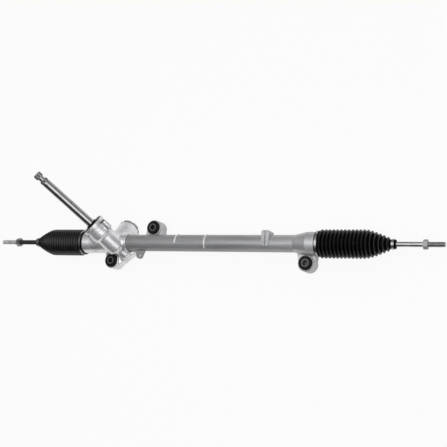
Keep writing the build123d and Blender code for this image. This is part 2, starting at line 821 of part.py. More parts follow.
# ---------------------------------------------------------------- ends: ball joints, tie rods and boots
seat_outer = socket_radius - socket_wall
for side, word in ((-1, "left"), (1, "right")):
    ball_line = end_line(rack_middle + side * ball_centre_half, side)

    with BuildPart() as inner_socket:
        socket_outline = [
            (-socket_back, 0),
            (-socket_back, socket_radius - 1),
            (-socket_back + 1, socket_radius),
            (socket_mouth - 5, socket_radius),
            (socket_mouth, socket_lip + 2),
            (socket_mouth, 0),
        ]
        turned(socket_outline, ball_line)
        turned(sleeve_outline(-socket_back - stud_length, -socket_back, 0, stud_radius), ball_line)
        cavity_outline = [
            (-socket_floor, 0),
            (-socket_floor, seat_outer),
            (seat_front, seat_outer),
            (seat_front + 3, socket_lip),
            (socket_mouth, socket_lip),
            (socket_mouth, 0),
        ]
        turned(cavity_outline, ball_line, Mode.SUBTRACT)
    finish(inner_socket, f"inner_socket_{word}")

    with BuildPart() as ball_seat:
        cup = joint_ball + fit
        with BuildSketch(ball_line) as seat_section:
            with BuildLine():
                seat_bore = sqrt(cup**2 - seat_front**2)
                Polyline((-cup, 0), (-socket_floor, 0), (-socket_floor, seat_outer - fit / 2))
                Polyline((-socket_floor, seat_outer - fit / 2), (seat_front, seat_outer - fit / 2))
                Line((seat_front, seat_outer - fit / 2), (seat_front, seat_bore))
                ThreePointArc((seat_front, seat_bore), (-cup * cos(pi / 3), cup * sin(pi / 3)), (-cup, 0))
            make_face()
        revolve(seat_section.sketch, axis=Axis(ball_line.origin, ball_line.x_dir))
    finish(ball_seat, f"ball_seat_{word}")

    with BuildPart() as socket_washer:
        washer_outline = sleeve_outline(
            -socket_back - washer_thickness, -socket_back, stud_radius + fit, washer_radius
        )
        turned(washer_outline, ball_line)
    finish(socket_washer, f"socket_washer_{word}")

    nut_place = rod_length - free_thread[word] - nut_height
    with BuildPart() as tie_rod:
        with BuildSketch(ball_line) as rod_section:
            with BuildLine():
                neck_start = sqrt(joint_ball**2 - neck_radius**2)
                ThreePointArc((-joint_ball, 0), (0, joint_ball), (neck_start, neck_radius))
                Polyline(
                    (neck_start, neck_radius),
                    (rod_shoulder, neck_radius),
                    (rod_shoulder + 2, rod_radius),
                    (nut_place, rod_radius),
                    (nut_place, thread_pitch_radius),
                    (nut_place + nut_height, thread_pitch_radius),
                    (nut_place + nut_height, thread_radius),
                    (rod_length - rod_tip_chamfer, thread_radius),
                    (rod_length, thread_radius - rod_tip_chamfer),
                    (rod_length, 0),
                    (-joint_ball, 0),
                )
            make_face()
        revolve(rod_section.sketch, axis=Axis(ball_line.origin, ball_line.x_dir))
    finish(tie_rod, f"tie_rod_{word}")

    with BuildPart() as jam_nut:
        with BuildSketch(square_to(ball_line, nut_place)) as hexagon:
            RegularPolygon(nut_flats / 2, 6, major_radius=False)
            Circle(thread_pitch_radius + fit, mode=Mode.SUBTRACT)
        extrude(hexagon.sketch, amount=nut_height)
    finish(jam_nut, f"jam_nut_{word}")

    # boot: a lip, even folds, folds that taper, and a small cuff on the tie rod
    lip_line = end_line(centre_x + side * boot_lip_half, side)
    boot_length = ball_centre_half + cuff_reach - boot_lip_half + side * rack_offset
    folds = boot_folds + cone_folds
    fold_pitch = (boot_length - lip_width - small_cuff_width) / folds
    cone_start = lip_width + boot_folds * fold_pitch
    cuff_start = boot_length - small_cuff_width
    fold_height = boot_peak - boot_valley
    with BuildPart() as boot:
        skin = [(0, lip_radius), (lip_width, lip_radius)]
        for fold in range(folds):
            past = max(0, fold + 0.5 - boot_folds) / cone_folds
            peak = boot_peak - (boot_peak - cone_end_peak) * past**1.3
            skin.append((lip_width + (fold + 0.5) * fold_pitch, peak))
            if fold < folds - 1:
                past = max(0, fold + 1 - boot_folds) / cone_folds
                valley = boot_peak - (boot_peak - cone_end_peak) * past**1.3 - fold_height
                skin.append((lip_width + (fold + 1) * fold_pitch, valley))
        skin.append((cuff_start, small_cuff_radius))
        skin.append((boot_length, small_cuff_radius))
        rod_hole = rod_radius + soft_gap
        inside = [
            (boot_length, rod_hole),
            (cuff_start - 2, rod_hole),
            (cone_start - 2, boot_inner),
            (boot_seat_length + 1, boot_inner),
            (boot_seat_length + 1, boot_seat_radius + fit),
            (0, boot_seat_radius + fit),
        ]
        turned(skin + inside, lip_line)
    finish(boot, f"boot_{word}")

    with BuildPart() as boot_band:
        band_outline = sleeve_outline(
            band_inset, band_inset + band_width, lip_radius + fit, lip_radius + fit + band_wall
        )
        turned(band_outline, lip_line)
        with BuildSketch(square_to(lip_line, band_inset)) as ear:
            with PolarLocations(lip_radius + band_wall, 1, start_angle=90 + side * pinion_lean):
                Circle(band_ear / 2)
            Circle(lip_radius + fit, mode=Mode.SUBTRACT)
        extrude(ear.sketch, amount=band_width)
    finish(boot_band, f"boot_band_{word}")

    with BuildPart() as boot_clip:
        clip_inner = small_cuff_radius + soft_gap
        clip_start = cuff_start + (small_cuff_width - clip_width) / 2
        clip_end = clip_start + clip_width
        turned(sleeve_outline(clip_start, clip_end, clip_inner, clip_inner + band_wall), lip_line)
        with BuildSketch(square_to(lip_line, clip_start)) as ears:
            with Locations((0, clip_inner + clip_ear_height / 2)):
                with GridLocations(clip_ear_gap + band_wall, 0, 2, 1):
                    Rectangle(band_wall, clip_ear_height)
            Circle(clip_inner, mode=Mode.SUBTRACT)
        extrude(ears.sketch, amount=clip_width)
    finish(boot_clip, f"boot_clip_{word}")
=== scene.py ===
"""Finishes, rubber boots, threads and studio of a rack and pinion steering gear."""

import math

import bmesh
import bpy
from mathutils import Matrix, Vector


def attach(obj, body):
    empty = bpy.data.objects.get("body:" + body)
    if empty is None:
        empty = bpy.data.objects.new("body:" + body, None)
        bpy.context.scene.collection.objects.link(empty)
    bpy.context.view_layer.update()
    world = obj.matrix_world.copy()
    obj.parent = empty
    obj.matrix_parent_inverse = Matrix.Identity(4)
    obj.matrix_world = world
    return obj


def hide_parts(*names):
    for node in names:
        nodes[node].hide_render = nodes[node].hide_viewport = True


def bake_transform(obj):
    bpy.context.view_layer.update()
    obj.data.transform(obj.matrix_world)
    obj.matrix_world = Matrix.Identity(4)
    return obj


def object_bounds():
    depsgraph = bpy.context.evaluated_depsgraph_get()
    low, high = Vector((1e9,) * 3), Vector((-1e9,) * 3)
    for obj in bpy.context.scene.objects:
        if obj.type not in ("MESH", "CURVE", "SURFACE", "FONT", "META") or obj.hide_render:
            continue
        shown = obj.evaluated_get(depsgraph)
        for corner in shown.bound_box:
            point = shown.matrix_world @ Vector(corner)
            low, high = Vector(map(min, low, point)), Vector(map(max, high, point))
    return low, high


bl_info = {
    "name": "Steering gear dressing",
    "version": (1, 0, 0),
    "blender": (4, 5, 0),
    "location": "View3D > Sidebar > Steering gear",
    "description": "Dresses a packed rack and pinion steering gear in cast, rubber and steel",
    "category": "Object",
}

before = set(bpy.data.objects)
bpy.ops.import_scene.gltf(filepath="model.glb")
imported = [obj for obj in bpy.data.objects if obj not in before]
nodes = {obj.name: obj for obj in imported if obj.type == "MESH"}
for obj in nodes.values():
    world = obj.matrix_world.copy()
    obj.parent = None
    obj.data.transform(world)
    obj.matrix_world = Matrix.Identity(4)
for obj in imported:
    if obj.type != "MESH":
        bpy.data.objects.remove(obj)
cad_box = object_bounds()

MM = 0.001
WELD = 1e-6  # metres: points closer than this are joined
LEVEL = 1e-7  # metres: heights closer than this are the same
ROUND_STEPS = 112  # facets round boots and rim

# the gear's own lines: the rack runs along X, the pinion crosses it at a slant, and the yoke
# presses on the rack squarely across the pinion
RACK_Y, RACK_Z = 44.0, 40.0
RACK_ORIGIN = Vector((0.0, RACK_Y, RACK_Z)) * MM
PINION_ORIGIN = Vector((19.0, 32.769, 51.231)) * MM
PINION_WAY = Vector((-0.580703, 0.575667, 0.575667)).normalized()
YOKE_ORIGIN = Vector((19.0, RACK_Y, RACK_Z)) * MM
YOKE_WAY = Vector((0.0, 0.707107, -0.707107))

# both ends of the rack, in millimetres: which way is outboard, where the boot's lip stands, how
# far its folds are apart and how rounded, where the ball is, and how much thread stays free
SIDES = {
    "left": {
        "way": -1, "lip": -75.0, "pitch": 6.944, "rounding": 0.8, "ball": -134.0, "free": 45.5,
    },
    "right": {
        "way": 1, "lip": 529.0, "pitch": 8.833, "rounding": 0.9, "ball": 622.0, "free": 37.0,
    },
}

# bores and sockets of the casting, in millimetres: the radius that takes in the wall, and the
# height along the bore's own line from which it is machined; the tower's bore stays as cast from
# its foot to the cover's socket
PINION_BORE, TOWER_FOOT, COVER_SOCKET = 21.8, -34, 44
YOKE_BORE, PLUG_SOCKET = 17.8, 22
RACK_BORE = 22.8
LUG_BORE = 17

# a boot, in millimetres over its lip, and a cuff's lines over its foot, as (radius, height)
FIRST_VALLEY = 9.5
LIP_OUTSIDE = ((25.05, 0.0), (28.4, 0.0), (29.0, 0.6), (29.0, 8.9))
LIP_INSIDE = ((25.05, 15.0), (24.0, 15.0))
LAST_CREST, CONE_BULGE = 15, 1.3  # the last crest's radius, and how full the cone is
CUFF_OUTSIDE = ((10.5, 0.0), (10.5, 12.4), (9.9, 13.0))
CUFF_INSIDE = ((6.1, -2.0), (6.1, 13.0))
BOOT_WALL = 2.0
CONE_ROUNDING = 0.7
DEEPEST_FOLD = 6.2  # the depth under the crests that counts as 1
BREAK_AFTER = 2  # this many folds of the cone still belong to the piece with the even folds

# the tie rods, in millimetres from the ball's centre; the thread's line is (level, share of pitch)
ROD_LENGTH = 195.0
HIDDEN_THREAD = 10.0  # inside the jam nut
SHANK_OVERLAP = 1.0
THREAD_CHAMFER = 1.5
THREAD_STEPS = 28  # per turn
THREAD_LINE = (("root", 0.0), ("root", 0.12), ("crest", 0.47), ("crest", 0.58), ("root", 1.0))

# what sits on the pinion's line, in millimetres along it; lines are (radius, height)
SERRATED = ((233.0, 240.4), (249.6, 260.4))  # on both sides of the pinch groove
SERRATION_ROOT, SERRATION_CREST = 9.65, 9.95
BOLT_SEAT, BOLT_REACH = 68.0, 33.0
BOLT_HEAD_TOP = 4.5  # over the seat
COVER_RIM = (
    (29.4, 73.4), (30.2, 73.4), (30.6, 73.9), (30.6, 76.0), (30.2, 76.4), (30.2, 80.0),
    (29.8, 80.7), (28.6, 81.1), (28.6, 80.6), (29.4, 80.2),
)

# the yoke's lock ring, in millimetres along the yoke's line, with a spanner slot in each sixth
LOCK_RING = (
    (17.1, 54.0), (24.6, 54.0), (26.2, 55.0), (26.2, 59.6), (24.8, 61.0), (18.0, 61.0),
    (17.1, 60.2),
)
RING_STEPS = 96
SLOT_PITCH, SLOT_WIDTH = 60.0, 11.3  # degrees
SLOT_RIM, SLOT_FLOOR = 24, 23.4  # what reaches past the rim is sunk to the floor

# the tube's beads: X in millimetres and degrees round the tube, and the bead's own section
TUBE_BEADS = ((180.0, 92.0), (257.0, 130.0))
BEAD_START = 4.0  # degrees
BEAD_RADIUS, BEAD_LINE = 1.9, 19.9
BEAD_SIDES, BEAD_STEPS = 12, 32

# the studio, in metres
FLOOR_DROP = 0.0018  # the floor lies this far under the lowest solid
FLOOR_CENTRE, FLOOR_SIZE = (0.24, 0.04), 9.0
FLOOR_GREY = 0.62
FLOOR_GLOW, GLOW_SHARE = 1.03, 0.9
BACKDROP = (0.975, 0.972, 0.975)
SKY_WAY = (0.30, 0.28, 0.90)  # where the world's light is strongest
SKY_STRENGTH = 0.85
SKY = (
    (0.0, (0.015, 0.015, 0.016)), (0.25, (0.06, 0.06, 0.062)), (0.55, (0.36, 0.36, 0.37)),
    (0.75, (0.60, 0.60, 0.61)), (0.95, (0.85, 0.85, 0.85)),
)
KEY_PLACE, KEY_AIM, KEY_SIZE = (0.1, 0.25, 2.5), (0.24, 0.05, 0.04), (2.4, 1.6)
STRIP_PLACE, STRIP_AIM, STRIP_SIZE = (1.07, -0.31, 1.60), (-0.08, 0.13, 0.15), (1.25, 0.75)
STRIP_ALONG = (0.625, 0.768, -0.138)
CAMERA_PLACE = (1.2145, -0.2924, 2.0724)
CAMERA_RIGHT, CAMERA_BACK = (0.9139, 0.0717, -0.3996), (0.406, -0.1696, 0.898)
CAMERA_CLIP = (0.05, 60.0)
SENSOR_WIDTH = 36.0  # millimetres


# ------------------------------------------------------------ settings that a user would change
class BootSettings(bpy.types.PropertyGroup):
    even_folds: bpy.props.IntProperty(
        name="Even folds", description="Folds of full height beside the lip",
        default=12, min=4, max=24,
    )
    cone_folds: bpy.props.IntProperty(
        name="Cone folds", description="Folds that taper towards the tie rod",
        default=6, min=3, max=12,
    )
    crest_radius: bpy.props.FloatProperty(
        name="Crest radius", description="Radius over the even folds",
        default=0.033, unit="LENGTH",
    )
    left_fold_height: bpy.props.FloatProperty(
        name="Left fold height", description="Depth of the closed folds at the pinion end",
        default=0.0026, unit="LENGTH",
    )
    right_fold_height: bpy.props.FloatProperty(
        name="Right fold height", description="Depth of the open folds at the far end",
        default=0.0062, unit="LENGTH",
    )
    rubber_colour: bpy.props.FloatVectorProperty(
        name="Rubber", description="Colour of the boots; the bushes take a darker tone of it",
        default=(0.0032, 0.0032, 0.0035), subtype="COLOR", size=3, min=0.0, max=1.0,
    )


class MetalSettings(bpy.types.PropertyGroup):
    casting_colour: bpy.props.FloatVectorProperty(
        name="Gear casting", description="Colour of the fresh aluminium casting",
        default=(0.80, 0.80, 0.815), subtype="COLOR", size=3, min=0.0, max=1.0,
    )
    # the brackets' paler tone is painted light
    tube_colour: bpy.props.FloatVectorProperty(
        name="Tube", description="Colour of the grey tube; its brackets take a paler tone",
        default=(0.31, 0.313, 0.317), subtype="COLOR", size=3, min=0.0, max=1.0,
    )
    steel_colour: bpy.props.FloatVectorProperty(
        name="Steel", description="Colour of the ground input shaft",
        default=(0.40, 0.40, 0.405), subtype="COLOR", size=3, min=0.0, max=1.0,
    )
    zinc_colour: bpy.props.FloatVectorProperty(
        name="Zinc plate", description="Colour of bands and clips; the nuts take a duller tone",
        default=(0.36, 0.36, 0.355), subtype="COLOR", size=3, min=0.0, max=1.0,
    )
    fillet_rounds: bpy.props.IntProperty(
        name="Fillet rounds", description="How far the cast fillets spread",
        default=16, min=0, max=40,
    )
    casting_cell: bpy.props.FloatProperty(
        name="Casting cell", description="Size of the facets of the casting's skin",
        default=0.0012, unit="LENGTH",
    )


class ThreadSettings(bpy.types.PropertyGroup):
    crest_radius: bpy.props.FloatProperty(
        name="Thread radius", description="Radius over the thread's crests",
        default=0.006, unit="LENGTH",
    )
    root_radius: bpy.props.FloatProperty(
        name="Root radius", description="Radius at the thread's roots",
        default=0.00523, unit="LENGTH",
    )
    pitch: bpy.props.FloatProperty(
        name="Pitch", description="Distance from crest to crest", default=0.00125, unit="LENGTH"
    )
    serration_teeth: bpy.props.IntProperty(
        name="Serration teeth", description="Ribs round the input shaft's end",
        default=36, min=12, max=72,
    )


class StudioSettings(bpy.types.PropertyGroup):
    floor_colour: bpy.props.FloatVectorProperty(
        name="Floor", description="Colour that the floor shows",
        default=(0.998, 0.991, 0.991), subtype="COLOR", size=3, min=0.0, max=1.0,
    )
    key_power: bpy.props.FloatProperty(
        name="Key lamp", description="Power of the wide soft lamp overhead",
        default=19.0, unit="POWER",
    )
    strip_power: bpy.props.FloatProperty(
        name="Strip lamp", description="Power of the lamp that draws the shaft's streak",
        default=4.8, unit="POWER",
    )
    lens: bpy.props.FloatProperty(
        name="Lens", description="Focal length of the camera",
        default=77.3, subtype="DISTANCE_CAMERA",
    )


# ------------------------------------------------------------ shader nodes
def cleared_tree(owner):
    """The emptied node tree of a material or a world."""
    owner.use_nodes = True
    owner.node_tree.nodes.clear()
    return owner.node_tree


def new_finish(name):
    """A new material's node tree and its shader."""
    tree = cleared_tree(bpy.data.materials.new(name))
    output = tree.nodes.new("ShaderNodeOutputMaterial")
    shader = tree.nodes.new("ShaderNodeBsdfPrincipled")
    tree.links.new(shader.outputs["BSDF"], output.inputs["Surface"])
    return tree, shader


def set_inputs(tree, node, inputs):
    """Give a node's inputs their values, and link those that are given a socket."""
    for key, value in inputs.items():
        if isinstance(value, bpy.types.NodeSocket):
            tree.links.new(value, node.inputs[key])
        else:
            node.inputs[key].default_value = value


def surface_coordinates(tree, stretch=(1, 1, 1), turn=(0, 0, 0)):
    """Object coordinates, turned and stretched, in metres."""
    coordinates = tree.nodes.new("ShaderNodeTexCoord")
    mapping = tree.nodes.new("ShaderNodeMapping")
    set_inputs(tree, mapping, {
        "Vector": coordinates.outputs["Object"], "Rotation": turn, "Scale": stretch,
    })
    return mapping.outputs["Vector"]


def axis_of(tree, place, axis):
    apart = tree.nodes.new("ShaderNodeSeparateXYZ")
    tree.links.new(place, apart.inputs["Vector"])
    return apart.outputs[axis]


def grain(tree, place, scale, detail=3.0, rough=0.55):
    noise = tree.nodes.new("ShaderNodeTexNoise")
    set_inputs(tree, noise, {
        "Vector": place, "Scale": scale, "Detail": detail, "Roughness": rough,
    })
    return noise.outputs["Fac"]


def grey(level):
    return (level,) * 3


def shaded(colour, factor):
    return tuple(min(1.0, c * factor) for c in colour)


def ramp(tree, value, *stops):
    """A colour ramp from (place, colour) stops."""
    node = tree.nodes.new("ShaderNodeValToRGB")
    elements = node.color_ramp.elements
    while len(elements) < len(stops):
        elements.new(0.5)
    for element, (place, colour) in zip(elements, stops):
        element.position = place
        element.color = (*colour, 1.0)
    tree.links.new(value, node.inputs["Fac"])
    return node.outputs["Color"]


def carried(tree, value, low, high, first=0.0, last=1.0):
    """A value between low and high, carried over to first and last and held between them."""
    node = tree.nodes.new("ShaderNodeMapRange")
    set_inputs(tree, node, {
        "Value": value, "From Min": low, "From Max": high, "To Min": first, "To Max": last,
    })
    return node.outputs["Result"]


def noisy(tree, noise, first, last):
    """Noise, which keeps mostly between 0.3 and 0.7, carried over to first and last."""
    return carried(tree, noise, 0.3, 0.7, first, last)


def blended(tree, share, first, second, mode="MIX"):
    node = tree.nodes.new("ShaderNodeMix")
    node.data_type = "RGBA"
    node.blend_type = mode
    set_inputs(tree, node, {"Factor": share, "A": first, "B": second})
    return node.outputs["Result"]


def bumped(tree, shader, *layers):
    """Lay bumps over each other on the shader: (height, strength, distance in metres)."""
    normal = None
    for height, strength, distance in layers:
        bump = tree.nodes.new("ShaderNodeBump")
        set_inputs(tree, bump, {"Height": height, "Strength": strength, "Distance": distance})
        if normal is not None:
            tree.links.new(normal, bump.inputs["Normal"])
        normal = bump.outputs["Normal"]
    tree.links.new(normal, shader.inputs["Normal"])


# ------------------------------------------------------------ finishes
def cast_metal(name, colour, metallic, rough, grain_depth, painted_light_fade=None):
    """Cast metal: cloudy tone, fine grain and a few pores.

    fade is (start, end, first, last): from X = start to X = end, in metres, the tone is
    multiplied by first to last as painted light, and the clouds are drawn out along X.
    """
    tree, shader = new_finish(name)
    place = surface_coordinates(tree)
    clouds_at = surface_coordinates(tree, stretch=(0.12, 1, 1)) if painted_light_fade else place
    cloud = grain(tree, clouds_at, scale=38.0, detail=4.0)
    fine = grain(tree, place, scale=1400.0, detail=2.0, rough=0.6)
    pores = grain(tree, place, scale=260.0, detail=2.0)
    tone = ramp(
        tree, cloud, (0.32, shaded(colour, 0.78)), (0.5, colour), (0.68, shaded(colour, 1.14))
    )
    speck = ramp(tree, fine, (0.32, grey(0.86)), (0.5, grey(1.0)), (0.7, grey(1.05)))
    tone = blended(tree, 0.6, tone, speck, "MULTIPLY")
    if painted_light_fade:
        start, end, first, last = painted_light_fade
        # painted light: the tone grows or falls along X
        run = carried(tree, axis_of(tree, place, "X"), start, end)
        factor = ramp(tree, run, (0.0, grey(first)), (1.0, grey(last)))
        tone = blended(tree, 1.0, tone, factor, "MULTIPLY")
    set_inputs(tree, shader, {
        "Base Color": tone,
        "Roughness": noisy(tree, cloud, rough - 0.06, rough + 0.08),
        "Metallic": metallic,
    })
    bumped(tree, shader, (fine, grain_depth, 0.0001), (pores, grain_depth, 0.0004))


def rubber(name, colour, rough, shine, shade_folds=False):
    """Moulded rubber with a dull bloom and a fine pebbled skin.

    On the boots, the shine falls from the crests to almost none in the valleys, as painted shade
    in the folds.
    """
    tree, shader = new_finish(name)
    place = surface_coordinates(tree)
    cloud = grain(tree, place, scale=55.0, detail=4.0)
    skin = grain(tree, place, scale=1500.0, detail=2.0)
    pale = tuple(c * 1.9 + 0.0012 for c in colour)
    if shade_folds:
        # painted shade: the deeper a point lies in a fold, the less it shines
        depth = tree.nodes.new("ShaderNodeAttribute")
        depth.attribute_name = "fold_depth"
        shine = carried(tree, depth.outputs["Fac"], 0.12, 0.62, shine, 0.02)
    set_inputs(tree, shader, {
        "Base Color": ramp(
            tree, cloud, (0.35, shaded(colour, 0.8)), (0.55, colour), (0.8, pale)
        ),
        "Roughness": noisy(tree, cloud, rough - 0.07, rough + 0.1),
        "Specular IOR Level": shine,
    })
    bumped(tree, shader, (skin, 0.2, 0.0001))


def turned_steel(name, colour, rough, turn, marks=0.12):
    """Ground or turned steel: fine marks round the piece's Z after turn, and a faint stain."""
    tree, shader = new_finish(name)
    place = surface_coordinates(tree)
    lined = surface_coordinates(tree, stretch=(30, 30, 2600), turn=turn)
    lines = grain(tree, lined, scale=1.0, detail=3.0, rough=0.7)
    cloud = grain(tree, place, scale=70.0, detail=4.0)
    tone = ramp(
        tree, cloud, (0.3, shaded(colour, 0.75)), (0.55, colour), (0.75, shaded(colour, 1.1))
    )
    streak = ramp(tree, lines, (0.3, grey(0.86)), (0.6, grey(1.0)))
    set_inputs(tree, shader, {
        "Base Color": blended(tree, 0.7, tone, streak, "MULTIPLY"),
        "Roughness": noisy(tree, lines, rough - 0.04, rough + 0.08),
        "Metallic": 1.0,
    })
    bumped(tree, shader, (lines, marks, 0.00003))


def plated_steel(name, colour, rough):
    """Zinc-plated pressings and nuts: small crystals with a slightly uneven tone."""
    tree, shader = new_finish(name)
    place = surface_coordinates(tree)
    crystals = tree.nodes.new("ShaderNodeTexVoronoi")
    set_inputs(tree, crystals, {"Vector": place, "Scale": 900.0})
    cloud = grain(tree, place, scale=120.0, detail=3.0)
    set_inputs(tree, shader, {
        "Base Color": ramp(
            tree, cloud, (0.3, shaded(colour, 0.8)), (0.5, colour), (0.75, shaded(colour, 1.12))
        ),
        "Roughness": noisy(tree, cloud, rough - 0.05, rough + 0.1),
        "Metallic": 0.95,
    })
    bumped(tree, shader, (crystals.outputs["Distance"], 0.08, 0.0001))


def sleeve_steel(name, colour, face_height):
    """A bush's sleeve: its faced end is bare, and what lies below it is painted near black as
    painted shade in the bore.
    """
    tree, shader = new_finish(name)
    place = surface_coordinates(tree)
    cloud = grain(tree, place, scale=400.0, detail=3.0)
    faced = carried(tree, axis_of(tree, place, "Z"), face_height - 0.0006, face_height)
    bare = ramp(tree, cloud, (0.3, shaded(colour, 0.75)), (0.7, shaded(colour, 1.2)))
    # painted shade: below the faced end the sleeve and its bore are coloured near black
    painted_bore_shade = ramp(tree, cloud, (0.3, grey(0.004)), (0.7, grey(0.012)))
    set_inputs(tree, shader, {
        "Base Color": blended(tree, faced, painted_bore_shade, bare),
        "Roughness": noisy(tree, cloud, 0.38, 0.55),
        "Metallic": 0.6,
    })
    bumped(tree, shader, (cloud, 0.1, 0.0001))


def moulded_plastic(name, colour):
    tree, shader = new_finish(name)
    place = surface_coordinates(tree)
    cloud = grain(tree, place, scale=90.0, detail=3.0)
    set_inputs(tree, shader, {
        "Base Color": ramp(tree, cloud, (0.3, shaded(colour, 0.92)), (0.7, colour)),
        "Roughness": noisy(tree, cloud, 0.32, 0.46),
    })
    bumped(tree, shader, (grain(tree, place, scale=1300.0), 0.08, 0.0002))


# ------------------------------------------------------------ frames and mesh helpers
def placed_axes(place, x, y, z):
    """The matrix that carries the axes to x, y and z at a place."""
    return Matrix.Translation(Vector(place)) @ Matrix((x, y, z)).transposed().to_4x4()


def line_frame(origin, way, up):
    """The matrix that carries +Z to way and +X near up, at origin."""
    z = Vector(way).normalized()
    x = (Vector(up) - z * Vector(up).dot(z)).normalized()
    return placed_axes(origin, x, z.cross(x), z)


def rack_frame(x_mm, way):
    """The rack axis from x, with +Z running outboard."""
    return line_frame(Vector((x_mm, RACK_Y, RACK_Z)) * MM, (way, 0, 0), (0, 0, 1))


PINION_FRAME = line_frame(PINION_ORIGIN, PINION_WAY, YOKE_WAY)
YOKE_FRAME = line_frame(YOKE_ORIGIN, YOKE_WAY, (1, 0, 0))


def in_metres(line, foot=0.0):
    """(radius, height) points in millimetres as metres, raised by a foot in metres."""
    return [(radius * MM, foot + height * MM) for radius, height in line]


def reach_of(point):
    """How far a point is from Z."""
    return math.hypot(point.x, point.y)


def pull_to(vert, reach):
    """Move a vertex straight in or out to a distance from Z."""
    factor = reach / reach_of(vert.co)
    vert.co.x *= factor
    vert.co.y *= factor


def bent_line(bm, line):
    """A line of (radius, height) points in the XZ plane: its corners and its edges."""
    corners = [bm.verts.new((radius, 0, height)) for radius, height in line]
    return corners, [bm.edges.new(pair) for pair in zip(corners, corners[1:])]


def spun_ring(line, steps):
    """A bmesh of a closed line of (radius, height) points, in metres, turned round Z."""
    bm = bmesh.new()
    corners, edges = bent_line(bm, line)
    edges.append(bm.edges.new((corners[-1], corners[0])))
    bmesh.ops.spin(
        bm, geom=corners + edges, cent=(0, 0, 0), axis=(0, 0, 1), dvec=(0, 0, 0),
        angle=2 * math.pi, steps=steps, use_merge=True,
    )
    bmesh.ops.remove_doubles(bm, verts=bm.verts, dist=LEVEL)
    bmesh.ops.recalc_face_normals(bm, faces=bm.faces)
    return bm


def round_off(bm, edges, radius, segments):
    """Round edges off; where they lie too close together, the radius is held back."""
    bmesh.ops.bevel(
        bm, geom=edges, offset=radius, offset_type="OFFSET", segments=segments, profile=0.5,
        affect="EDGES", material=-1, clamp_overlap=True,
    )


def relax(bm, verts, factor):
    """Move vertices towards the middle of their neighbours."""
    bmesh.ops.smooth_vert(
        bm, verts=verts, factor=factor, use_axis_x=True, use_axis_y=True, use_axis_z=True
    )


def merged_copy(node):
    """A bmesh of a node's mesh with its loose triangles joined."""
    bm = bmesh.new()
    bm.from_mesh(nodes[node].data)
    bmesh.ops.remove_doubles(bm, verts=bm.verts, dist=WELD)
    return bm


def piece_from(bm, name, finish, matrix=None, smooth_below=40):
    """Make a bmesh an object at the origin, smooth where faces meet below an angle in degrees."""
    if matrix is not None:
        bmesh.ops.transform(bm, matrix=matrix, verts=bm.verts)
    bmesh.ops.recalc_face_normals(bm, faces=bm.faces)
    limit = math.radians(smooth_below)
    for face in bm.faces:
        face.smooth = True
    for edge in bm.edges:
        edge.smooth = len(edge.link_faces) == 2 and edge.calc_face_angle(0) < limit
    mesh = bpy.data.meshes.new(name)
    bm.to_mesh(mesh)
    bm.free()
    mesh.materials.append(bpy.data.materials[finish])
    piece = bpy.data.objects.new(name, mesh)
    bpy.context.scene.collection.objects.link(piece)
    return piece


# ------------------------------------------------------------ gear casting
def distance_to_line(point, origin, way):
    away = point - origin
    return (away - way * away.dot(way)).length


def in_a_bore(point):
    """Whether a point of the casting lies on the wall of one of its bores or sockets."""
    if distance_to_line(point, PINION_ORIGIN, PINION_WAY) < PINION_BORE * MM:
        height = (point - PINION_ORIGIN).dot(PINION_WAY)
        if height > TOWER_FOOT * MM:
            return height > COVER_SOCKET * MM
    if distance_to_line(point, YOKE_ORIGIN, YOKE_WAY) < YOKE_BORE * MM:
        return (point - YOKE_ORIGIN).dot(YOKE_WAY) > PLUG_SOCKET * MM
    if distance_to_line(point, RACK_ORIGIN, Vector((1, 0, 0))) < RACK_BORE * MM:
        return True
    return distance_to_line(point, Vector((0, 0, 0)), Vector((0, 0, 1))) < LUG_BORE * MM


def spread_fillets(bm, rounds):
    """Fill the inner corners of the casting's skin, as a mould's radii do; leave its bores."""
    free = [vert for vert in bm.verts if not in_a_bore(vert.co)]
    least_hollow = 0.02 * MM
    for _ in range(rounds):
        bm.normal_update()
        hollow = []
        for vert in free:
            around = [edge.other_vert(vert).co for edge in vert.link_edges]
            middle = sum(around, Vector()) / len(around)
            if (middle - vert.co).dot(vert.normal) > least_hollow:
                hollow.append(vert)
        if not hollow:
            return
        relax(bm, hollow, 0.6)


def even_skin(context, solid, cell):
    """A bmesh of the same form in even facets; the solid's own bmesh is used up."""
    draft_mesh = bpy.data.meshes.new("casting_draft")
    solid.to_mesh(draft_mesh)
    solid.free()
    draft = bpy.data.objects.new("casting_draft", draft_mesh)
    context.scene.collection.objects.link(draft)
    remesh = draft.modifiers.new("skin", "REMESH")
    remesh.mode = "VOXEL"
    remesh.voxel_size = cell
    depsgraph = context.evaluated_depsgraph_get()
    skin_mesh = bpy.data.meshes.new_from_object(draft.evaluated_get(depsgraph))
    bpy.data.objects.remove(draft)
    if not skin_mesh.polygons:
        raise RuntimeError("the casting's skin came out empty")
    skin = bmesh.new()
    skin.from_mesh(skin_mesh)
    bpy.data.meshes.remove(skin_mesh)
    return skin


class GEAR_OT_casting(bpy.types.Operator):
    """Give the gear casting the rounded corners and fillets of a mould"""

    bl_idname = "gear.casting"
    bl_label = "Gear casting"

    def execute(self, context):
        metal = context.scene.gear_metal
        bm = even_skin(context, merged_copy("rack_housing"), metal.casting_cell)
        relax(bm, bm.verts, 0.5)
        spread_fillets(bm, metal.fillet_rounds)
        relax(bm, bm.verts, 0.5)
        casting = piece_from(bm, "gear_casting", "cast aluminium", smooth_below=75)
        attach(casting, "housing")
        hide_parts("rack_housing")
        return {"FINISHED"}


# ------------------------------------------------------------ boots
def fold_crest(boot, side, height):
    """The radius over the folds at a height above the boot's lip."""
    place = (height - FIRST_VALLEY * MM) / (side["pitch"] * MM)
    past = min(1.0, max(0.0, place - boot.even_folds) / boot.cone_folds)
    return boot.crest_radius - (boot.crest_radius - LAST_CREST * MM) * past**CONE_BULGE


